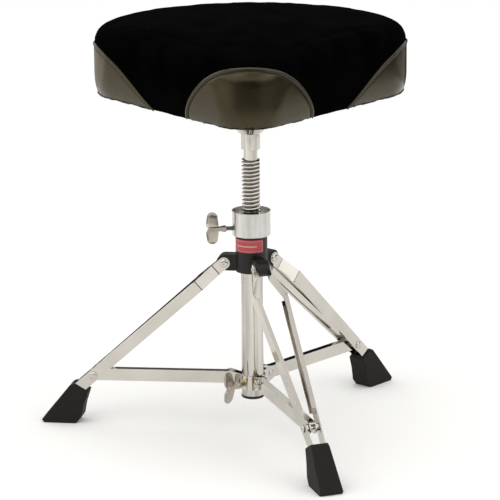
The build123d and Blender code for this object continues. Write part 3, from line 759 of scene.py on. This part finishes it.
def make_cushion(saddle):
    room = SWELL_ROOM
    vertices, faces = cushion_mesh(saddle, room)
    piece = add_piece("seat_cushion", vertices, faces, None, "black_velour")
    remesh(piece, VOXEL)
    swell(piece, SEAT_BOTTOM + HELD_HEIGHT)
    subdivide(piece)
    apply_modifiers(piece)
    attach(piece, "seat")
    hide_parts("seat_cover_top", "seat_foam")
    return piece


# ---- Vinyl patches ------------------------------------------------------------------
ARCH_STEPS = 144
ARCH_FOOT = 1.4 * MM
INNER_STEPS = 18
PATCH_THICKNESS = 1.3 * MM
STITCH_INSET = 5.4 * MM
STITCH_SPACING = 4.4 * MM
STITCH_LIFT = 0.55 * MM
STITCH_R = 0.95 * MM
STITCH_GAP = 0.05
STITCH_PATH_STEPS = 900

# A stitch's thickness along its length: share of the length, share of the full radius.
STITCH_PROFILE = ((0.0, 0.35), (0.12, 0.8), (0.5, 1.0), (0.88, 0.8), (1.0, 0.35))

# Section of a patch's piped and stitched edge: distance in from the edge and lift off the
# cushion, both in mm.
EDGE_PROFILE = ((-0.5, -0.2), (-0.45, 0.7), (0.0, 1.4), (0.8, 1.95), (2.0, 2.2), (3.2, 2.05), (4.0, 1.5),
                (4.6, 0.6), (5.4, 0.2), (6.2, 0.6), (7.0, 0.95), (9.0, 1.0))

# Each panel's half length along the bottom edge, its height up the skin, and the power of its
# arch: a lower power gives a fuller arch. The side panels are centred SIDE_PANEL_MIDDLE from the
# nose along the outline.
FRONT_PANEL = (111 * MM, 80.5 * MM, 0.60)
SIDE_PANEL = (134 * MM, 67 * MM, 0.97)
SIDE_PANEL_MIDDLE = 310 * MM


class Arch:
    """An arch-shaped panel on the side of the saddle, standing on its bottom edge."""

    def __init__(self, saddle, surface, middle, half_length, height, power):
        self.saddle = saddle
        self.surface = surface
        self.middle = middle
        self.half_length = half_length
        self.height = height
        self.power = power

    def point(self, angle, inset, lift):
        """A point on the panel: angle runs from one foot of the arch to the other, inset is the
        distance in from its edge, and lift the height above the cushion."""
        along = self.half_length * cos(angle)
        up = self.height * sin(pi / 2 * (1 - abs(cos(angle)))) ** self.power
        size = hypot(along, up)
        part = max(size - inset, 0.0) / size
        spot, out = self.saddle.aim_at(self.middle + along * part, max(up * part, ARCH_FOOT))
        hit, normal, _, _ = self.surface.ray_cast(spot + out * RAY_START, -out)
        return hit + normal * lift

    def rim(self, inset, lift, steps):
        """Points all round the arch at one distance in from its edge."""
        return [self.point(pi * k / steps, inset, lift) for k in range(steps + 1)]


def make_patch(arch, node, name):
    """A vinyl patch: its piped edge first, then the plain vinyl inside it."""
    rings = [arch.rim(inset * MM, lift * MM, ARCH_STEPS) for inset, lift in EDGE_PROFILE]
    start, lift = EDGE_PROFILE[-1][0] * MM, EDGE_PROFILE[-1][1] * MM
    reach = arch.half_length - 1 * MM
    for step in range(1, INNER_STEPS + 1):
        rings.append(arch.rim(start + (reach - start) * step / INNER_STEPS, lift, ARCH_STEPS))
    vertices, faces = stack_rings(rings, cap_start=False, cap_end=False, closed=False)
    piece = add_piece(name, vertices, faces, "seat", "brown_black_vinyl")
    thicken(piece, PATCH_THICKNESS)
    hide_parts(node)


def stitch(start, end, radius, sides=6):
    """One stitch or staple: a short thread, thinner at both ends."""
    along = (end - start).normalized()
    side = along.orthogonal().normalized()
    other = along.cross(side)
    rings = []
    for part, size in STITCH_PROFILE:
        centre = start.lerp(end, part)
        rings.append([centre + (side * cos(tau * k / sides) + other * sin(tau * k / sides)) * radius * size
                      for k in range(sides)])
    return stack_rings(rings)


def make_stitches(arch, name):
    """A line of stitches along the patch's edge, a short gap apart."""
    points = arch.rim(STITCH_INSET, STITCH_LIFT, STITCH_PATH_STEPS)
    stitches = []
    travelled = 0.0
    start = points[0]
    for a, b in zip(points, points[1:]):
        travelled += (b - a).length
        if travelled >= STITCH_SPACING:
            stitches.append(stitch(start.lerp(b, STITCH_GAP), start.lerp(b, 1 - STITCH_GAP), STITCH_R))
            travelled = 0.0
            start = b
    vertices, faces = joined(*stitches)
    return add_piece(name, vertices, faces, "seat", "brown_black_vinyl", STITCH_YARN)


def make_seat():
    """The cushion first, then everything that is laid on it or fixed under it."""
    saddle = Saddle()
    cushion = make_cushion(saddle)
    surface = surface_of([cushion])
    arches = {
        "front": Arch(saddle, surface, 0.0, *FRONT_PANEL),
        "left": Arch(saddle, surface, -SIDE_PANEL_MIDDLE, *SIDE_PANEL),
        "right": Arch(saddle, surface, SIDE_PANEL_MIDDLE, *SIDE_PANEL),
    }
    for side, arch in arches.items():
        make_patch(arch, f"seat_patch_{side}", f"vinyl_patch_{side}")
        make_stitches(arch, f"vinyl_stitches_{side}")
    make_board(saddle)
    make_dust_cover(saddle)
    make_staples(saddle, surface)


# ---- Underside of the seat ----------------------------------------------------------
BOARD_INSET = 8.5 * MM
BOARD_EDGE = 1.5 * MM
DUST_COVER_INSET = 16 * MM
DUST_COVER_T = 0.4 * MM
DUST_COVER_LEVELS = 14
DUST_COVER_SLACK = 0.2 * MM
DUST_COVER_RIPPLES_PER_METRE = 25.0
PLATE_CLEARANCE = 0.6 * MM
STAPLE_INSET = 13 * MM
STAPLE_LENGTH = 10 * MM
STAPLE_R = 0.55 * MM
STAPLE_PROUD = 0.2 * MM
STAPLE_STEP = 4


def make_board(saddle):
    """Plywood board with eased edges, clear of the cover's tucked-in hem."""
    low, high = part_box("seat_board")
    eased, full = BOARD_INSET + BOARD_EDGE, BOARD_INSET
    levels = ((eased, low.z), (full, low.z + BOARD_EDGE), (full, high.z - BOARD_EDGE), (eased, high.z))
    rings = [[(*saddle.inset(k, inset), height) for k in range(OUTLINE_POINTS)] for inset, height in levels]
    vertices, faces = stack_rings(rings)
    piece = add_piece("plywood_board", vertices, faces, "seat", "plywood")
    flat_edges(piece)
    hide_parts("seat_board")


def make_dust_cover(saddle):
    """Thin black cloth stretched under the board, from near its edge to the mounting plate."""
    low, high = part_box("seat_dust_cover")
    plate_low, plate_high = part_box("seat_plate")
    hole = (plate_high.x - plate_low.x) / 2 + PLATE_CLEARANCE
    outer = [saddle.inset(k, DUST_COVER_INSET) for k in range(OUTLINE_POINTS)]
    rings = []
    for level in range(DUST_COVER_LEVELS + 1):
        ring = []
        for place in outer:
            inner = COLUMN.xy + (place - COLUMN.xy).normalized() * hole
            spot = place.lerp(inner, level / DUST_COVER_LEVELS)
            ripple = noise.noise(Vector((*spot, 0)) * DUST_COVER_RIPPLES_PER_METRE)
            slack = sin(pi * level / DUST_COVER_LEVELS) * ripple
            ring.append((*spot, (low.z + high.z) / 2 + DUST_COVER_SLACK * slack))
        rings.append(ring)
    vertices, faces = stack_rings(rings, cap_start=False, cap_end=False)
    piece = add_piece("dust_cover_cloth", vertices, faces, "seat", "dust_cloth")
    thicken(piece, DUST_COVER_T)
    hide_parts("seat_dust_cover")


def make_staples(saddle, surface):
    """Wire staples that hold the cover's turned-in edge to the board."""
    staples = []
    for k in range(0, OUTLINE_POINTS, STAPLE_STEP):
        middle = saddle.inset(k, STAPLE_INSET)
        out = saddle.outward[k]
        along = Vector((-out.y, out.x)) * STAPLE_LENGTH / 2
        ends = []
        for side in (-1, 1):
            place = Vector((*(middle + side * along), SEAT_BOTTOM - RAY_START))
            ends.append(surface.ray_cast(place, UP)[0] - STAPLE_PROUD * UP)
        staples.append(stitch(*ends, STAPLE_R))
    vertices, faces = joined(*staples)
    add_piece("cover_staples", vertices, faces, "seat", "zinc_steel")


# ---- Height screw -------------------------------------------------------------------
# One pitch of the thread: share of the way from root to crest, and share of the pitch.
THREAD_FORM = ((0.0, 0.0), (0.0, 0.24), (0.12, 0.30), (0.85, 0.45), (1.0, 0.50), (1.0, 0.80), (0.85, 0.85),
               (0.12, 0.985), (0.0, 1.0))
WELD = 0.01 * MM


def helix_points(profile, pitch, turns, steps):
    """Rings of a screw surface: profile is (radius, height within one pitch)."""
    rings = []
    for k in range(int(turns * steps) + 1):
        x, y = cos(tau * k / steps), sin(tau * k / steps)
        lift = pitch * k / steps
        rings.append([(radius * x, radius * y, height + lift) for radius, height in profile])
    return rings


def screw_body(root, crest, pitch, bottom, top, steps=64):
    """A right-handed trapezoidal thread, cut off square and closed at two heights."""
    profile = [(root + rise * (crest - root), height * pitch) for rise, height in THREAD_FORM]
    turns = (top - bottom) / pitch + 2
    rings = helix_points(profile, pitch, turns, steps)
    vertices, faces = stack_rings(rings, cap_start=False, cap_end=False, closed=False)
    vertices = [(x, y, z + bottom - 2 * pitch) for x, y, z in vertices]
    mesh = bpy.data.meshes.new("screw")
    mesh.from_pydata(vertices, [], faces)
    bm = bmesh.new()
    bm.from_mesh(mesh)
    bmesh.ops.remove_doubles(bm, verts=bm.verts, dist=WELD)
    for height, direction in ((bottom, -1), (top, 1)):
        everything = bm.verts[:] + bm.edges[:] + bm.faces[:]
        cut = bmesh.ops.bisect_plane(bm, geom=everything, plane_co=(0, 0, height),
                                     plane_no=(0, 0, direction), clear_outer=True)
        edges = [e for e in cut["geom_cut"] if isinstance(e, bmesh.types.BMEdge)]
        bmesh.ops.holes_fill(bm, edges=edges)
    vertices = [v.co.copy() for v in bm.verts]
    bm.verts.index_update()
    faces = [tuple(v.index for v in f.verts) for f in bm.faces]
    bm.free()
    bpy.data.meshes.remove(mesh)
    return vertices, faces


# Sizes of the height screw as in the CAD: thread, plain neck above it and journal below it.
THREAD_CREST = 11.9 * MM
THREAD_ROOT = 9.3 * MM
THREAD_PITCH = 5 * MM
THREAD_LENGTH = 220 * MM
NECK_R = 9.05 * MM
NECK_CHAMFER = 0.8 * MM
NECK_OVERLAP = 2 * MM
JOURNAL_R = 8 * MM
JOURNAL_CHAMFER = 1 * MM
JOURNAL_OVERLAP = 1 * MM
GUIDE_GAP = 0.1 * MM
# Radii over which the painted shade in the thread's root fades to the metal's own colour.
ROOT_SHADE_START = THREAD_ROOT + 0.1 * MM
ROOT_SHADE_END = THREAD_ROOT + 1.6 * MM


def make_spindle():
    """The height screw, with its right-hand thread; painted shade darkens the thread's root."""
    paint_root_shade(ROOT_SHADED_THREAD, ROOT_SHADE_START, ROOT_SHADE_END)
    low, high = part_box("spindle")
    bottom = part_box("spindle_guide")[1].z + GUIDE_GAP
    top = bottom + THREAD_LENGTH
    screw = screw_body(THREAD_ROOT, THREAD_CREST, THREAD_PITCH, bottom, top)
    journal = turned_body([(JOURNAL_R - JOURNAL_CHAMFER, low.z), (JOURNAL_R, low.z + JOURNAL_CHAMFER),
                           (JOURNAL_R, bottom + JOURNAL_OVERLAP)])
    neck = turned_body([(NECK_R, top - NECK_OVERLAP), (NECK_R, high.z - NECK_CHAMFER),
                        (NECK_R - NECK_CHAMFER, high.z)])
    vertices, faces = joined(screw, journal, neck)
    piece = add_piece("height_screw", [v + COLUMN for v in vertices], faces, "seat", "chrome", DRAWN_CHROME)
    # The thread's faces take the metal with painted shade in its root.
    piece.data.materials.append(ROOT_SHADED_THREAD)
    for polygon in piece.data.polygons:
        polygon.material_index = int(bottom < polygon.center.z < top)
    flat_edges(piece)
    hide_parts("spindle")


# ---- Wing screws --------------------------------------------------------------------
# A wing's outline is the taut line round these circles: distance along the screw, distance from
# its axis, and radius, all in mm.
LOBE_CIRCLES = ((12.0, 1.5, 3.2), (17.0, 14.5, 7.0), (20.0, 6.0, 5.5))
CIRCLE_POINTS = 40
LOBE_REACH = 25.5 * MM
LOBE_POINTS = 56
LOBE_TILT = radians(13)

# One side of a wing from its middle to its edge: share of the outline's size, and depth in mm.
LOBE_SECTION = ((0.30, -0.55), (0.60, -0.6), (0.80, -0.85), (0.90, -1.45), (0.97, -1.6), (1.0, -1.1))

# The boss between the wings, as radius and distance along the screw in mm.
BOSS_PROFILE = ((2.6, -0.6), (4.1, 0.0), (4.4, 1.2), (4.2, 3.0), (3.4, 7.0), (2.7, 12.0), (2.2, 17.0),
                (1.7, 21.5), (0.9, 23.6))
BOSS_SEGMENTS = 40
WING_THREAD_CREST = 2.9 * MM
WING_THREAD_ROOT = 2.35 * MM
WING_THREAD_PITCH = 1.25 * MM
WING_THREAD_OVERLAP = 0.5 * MM
WING_THREAD_STEPS = 24
WING_CORNER = radians(50)


def wing_lobe():
    """One dished lobe with a raised rim, in the XZ plane above the X axis."""
    spots = []
    for x, z, radius in LOBE_CIRCLES:
        for k in range(CIRCLE_POINTS):
            angle = tau * k / CIRCLE_POINTS
            spots.append(Vector((x + radius * cos(angle), z + radius * sin(angle))) * MM)
    outline, _ = evenly_spaced([spots[k] for k in convex_hull_2d(spots)], LOBE_POINTS)
    middle = sum(outline, Vector((0, 0))) / LOBE_POINTS
    section = list(LOBE_SECTION) + [(size, -depth) for size, depth in reversed(LOBE_SECTION)]
    rings = []
    for size, depth in section:
        places = [middle.lerp(spot, size) for spot in outline]
        rings.append([Vector((place.x, depth * MM, place.y)) for place in places])
    return stack_rings(rings)


def turned_round(solid, turn):
    """A solid moved or turned by a matrix."""
    vertices, faces = solid
    return [turn @ Vector(v) for v in vertices], faces


def make_wing_screw(node, name, joint_name, body):
    """A wing screw made in its own frame, with X outwards from the column and its origin where
    the boss begins, then turned to the CAD's axis."""
    axis = joint_axis(joint_name)
    outward = Vector((axis.x, axis.y, 0)).normalized()
    if outward.dot(box_centre(node) - COLUMN) < 0:
        outward.negate()
    reach = [(v - COLUMN).dot(outward) for v in world_vertices(node)]
    wings = max(reach) - LOBE_REACH
    along_x = Matrix.Rotation(pi / 2, 4, "Y")
    mirror = Matrix.Scale(-1, 4, UP)
    boss = turned_round(turned_body([(r * MM, x * MM) for r, x in BOSS_PROFILE], BOSS_SEGMENTS), along_x)
    upper = turned_round(wing_lobe(), Matrix.Rotation(LOBE_TILT, 4, "X"))
    lower = turned_round(wing_lobe(), Matrix.Rotation(-LOBE_TILT, 4, "X") @ mirror)
    thread = screw_body(WING_THREAD_ROOT, WING_THREAD_CREST, WING_THREAD_PITCH, min(reach) - wings,
                        WING_THREAD_OVERLAP, WING_THREAD_STEPS)
    thread = turned_round(thread, along_x)
    place = Matrix.Translation(COLUMN + UP * box_centre(node).z)
    place = place @ Matrix.Rotation(atan2(outward.y, outward.x), 4, "Z") @ Matrix.Translation((wings, 0, 0))
    vertices, faces = turned_round(joined(boss, upper, lower), place)
    head = add_piece(name, vertices, faces, body, "chrome", CAST_NICKEL)
    flat_edges(head, WING_CORNER)
    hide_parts(node)
    vertices, faces = turned_round(thread, place)
    shank = add_piece(f"{name}_thread", vertices, faces, body, "chrome", DARK_THREAD)
    flat_edges(shank)


# ---- Badge --------------------------------------------------------------------------
BADGE_MARGIN = 1.6 * MM
BADGE_LINE = 0.4 * MM
BADGE_BAR = 1.2 * MM
BADGE_BAR_ENDS = (0.12, 0.82)
BADGE_STEPS = 60

# How far the print's band reaches below and above the badge's surface.
PRINT_SUNK = 0.2 * MM
PRINT_PROUD = 0.25 * MM


def badge_band(around, radius, low, high):
    """Thin raised band on the hub between two angles and two heights."""
    inner, outer = radius - PRINT_SUNK, radius + PRINT_PROUD
    section = ((inner, low), (outer, low), (outer, high), (inner, high))
    rings = []
    for angle in around:
        out = Vector((cos(angle), sin(angle), 0))
        rings.append([COLUMN + out * size + UP * height for size, height in section])
    return stack_rings(rings)


def make_badge_trim():
    """A plain printed border and bar on the badge, with no lettering."""
    points = [v - COLUMN for v in world_vertices("hub_badge")]
    angles = [atan2(v.y, v.x) for v in points]
    radius = max(v.xy.length for v in points)
    low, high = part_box("hub_badge")
    margin = BADGE_MARGIN / radius
    start, end = min(angles) + margin, max(angles) - margin
    around = [start + (end - start) * k / BADGE_STEPS for k in range(BADGE_STEPS + 1)]
    bottom, top = low.z + BADGE_MARGIN, high.z - BADGE_MARGIN
    thin = BADGE_LINE / radius
    bands = [badge_band(around, radius, bottom, bottom + BADGE_LINE),
             badge_band(around, radius, top - BADGE_LINE, top),
             badge_band([start, start + thin], radius, bottom, top),
             badge_band([end - thin, end], radius, bottom, top)]
    middle = (bottom + top) / 2
    first, last = (int(BADGE_STEPS * share) for share in BADGE_BAR_ENDS)
    bands.append(badge_band(around[first:last], radius, middle - BADGE_BAR / 2, middle + BADGE_BAR / 2))
    vertices, faces = joined(*bands)
    add_piece("badge_print", vertices, faces, "base", "red_badge", CREAM_PRINT, smooth=False)


# ---- Run ----------------------------------------------------------------------------
paint_cad_nodes()
make_camera()
make_world()
make_floor()
make_lights()
make_seat()
make_spindle()
make_wing_screw("lock_wing_screw", "collar_wing_screw", "lock_screw_turn", "lock_screw")
make_wing_screw("sleeve_wing_screw", "clamp_wing_screw", "sleeve_screw_turn", "sleeve_screw")
make_badge_trim()

bpy.context.scene.view_settings.view_transform = "Standard"
bpy.context.scene.view_settings.look = "None"
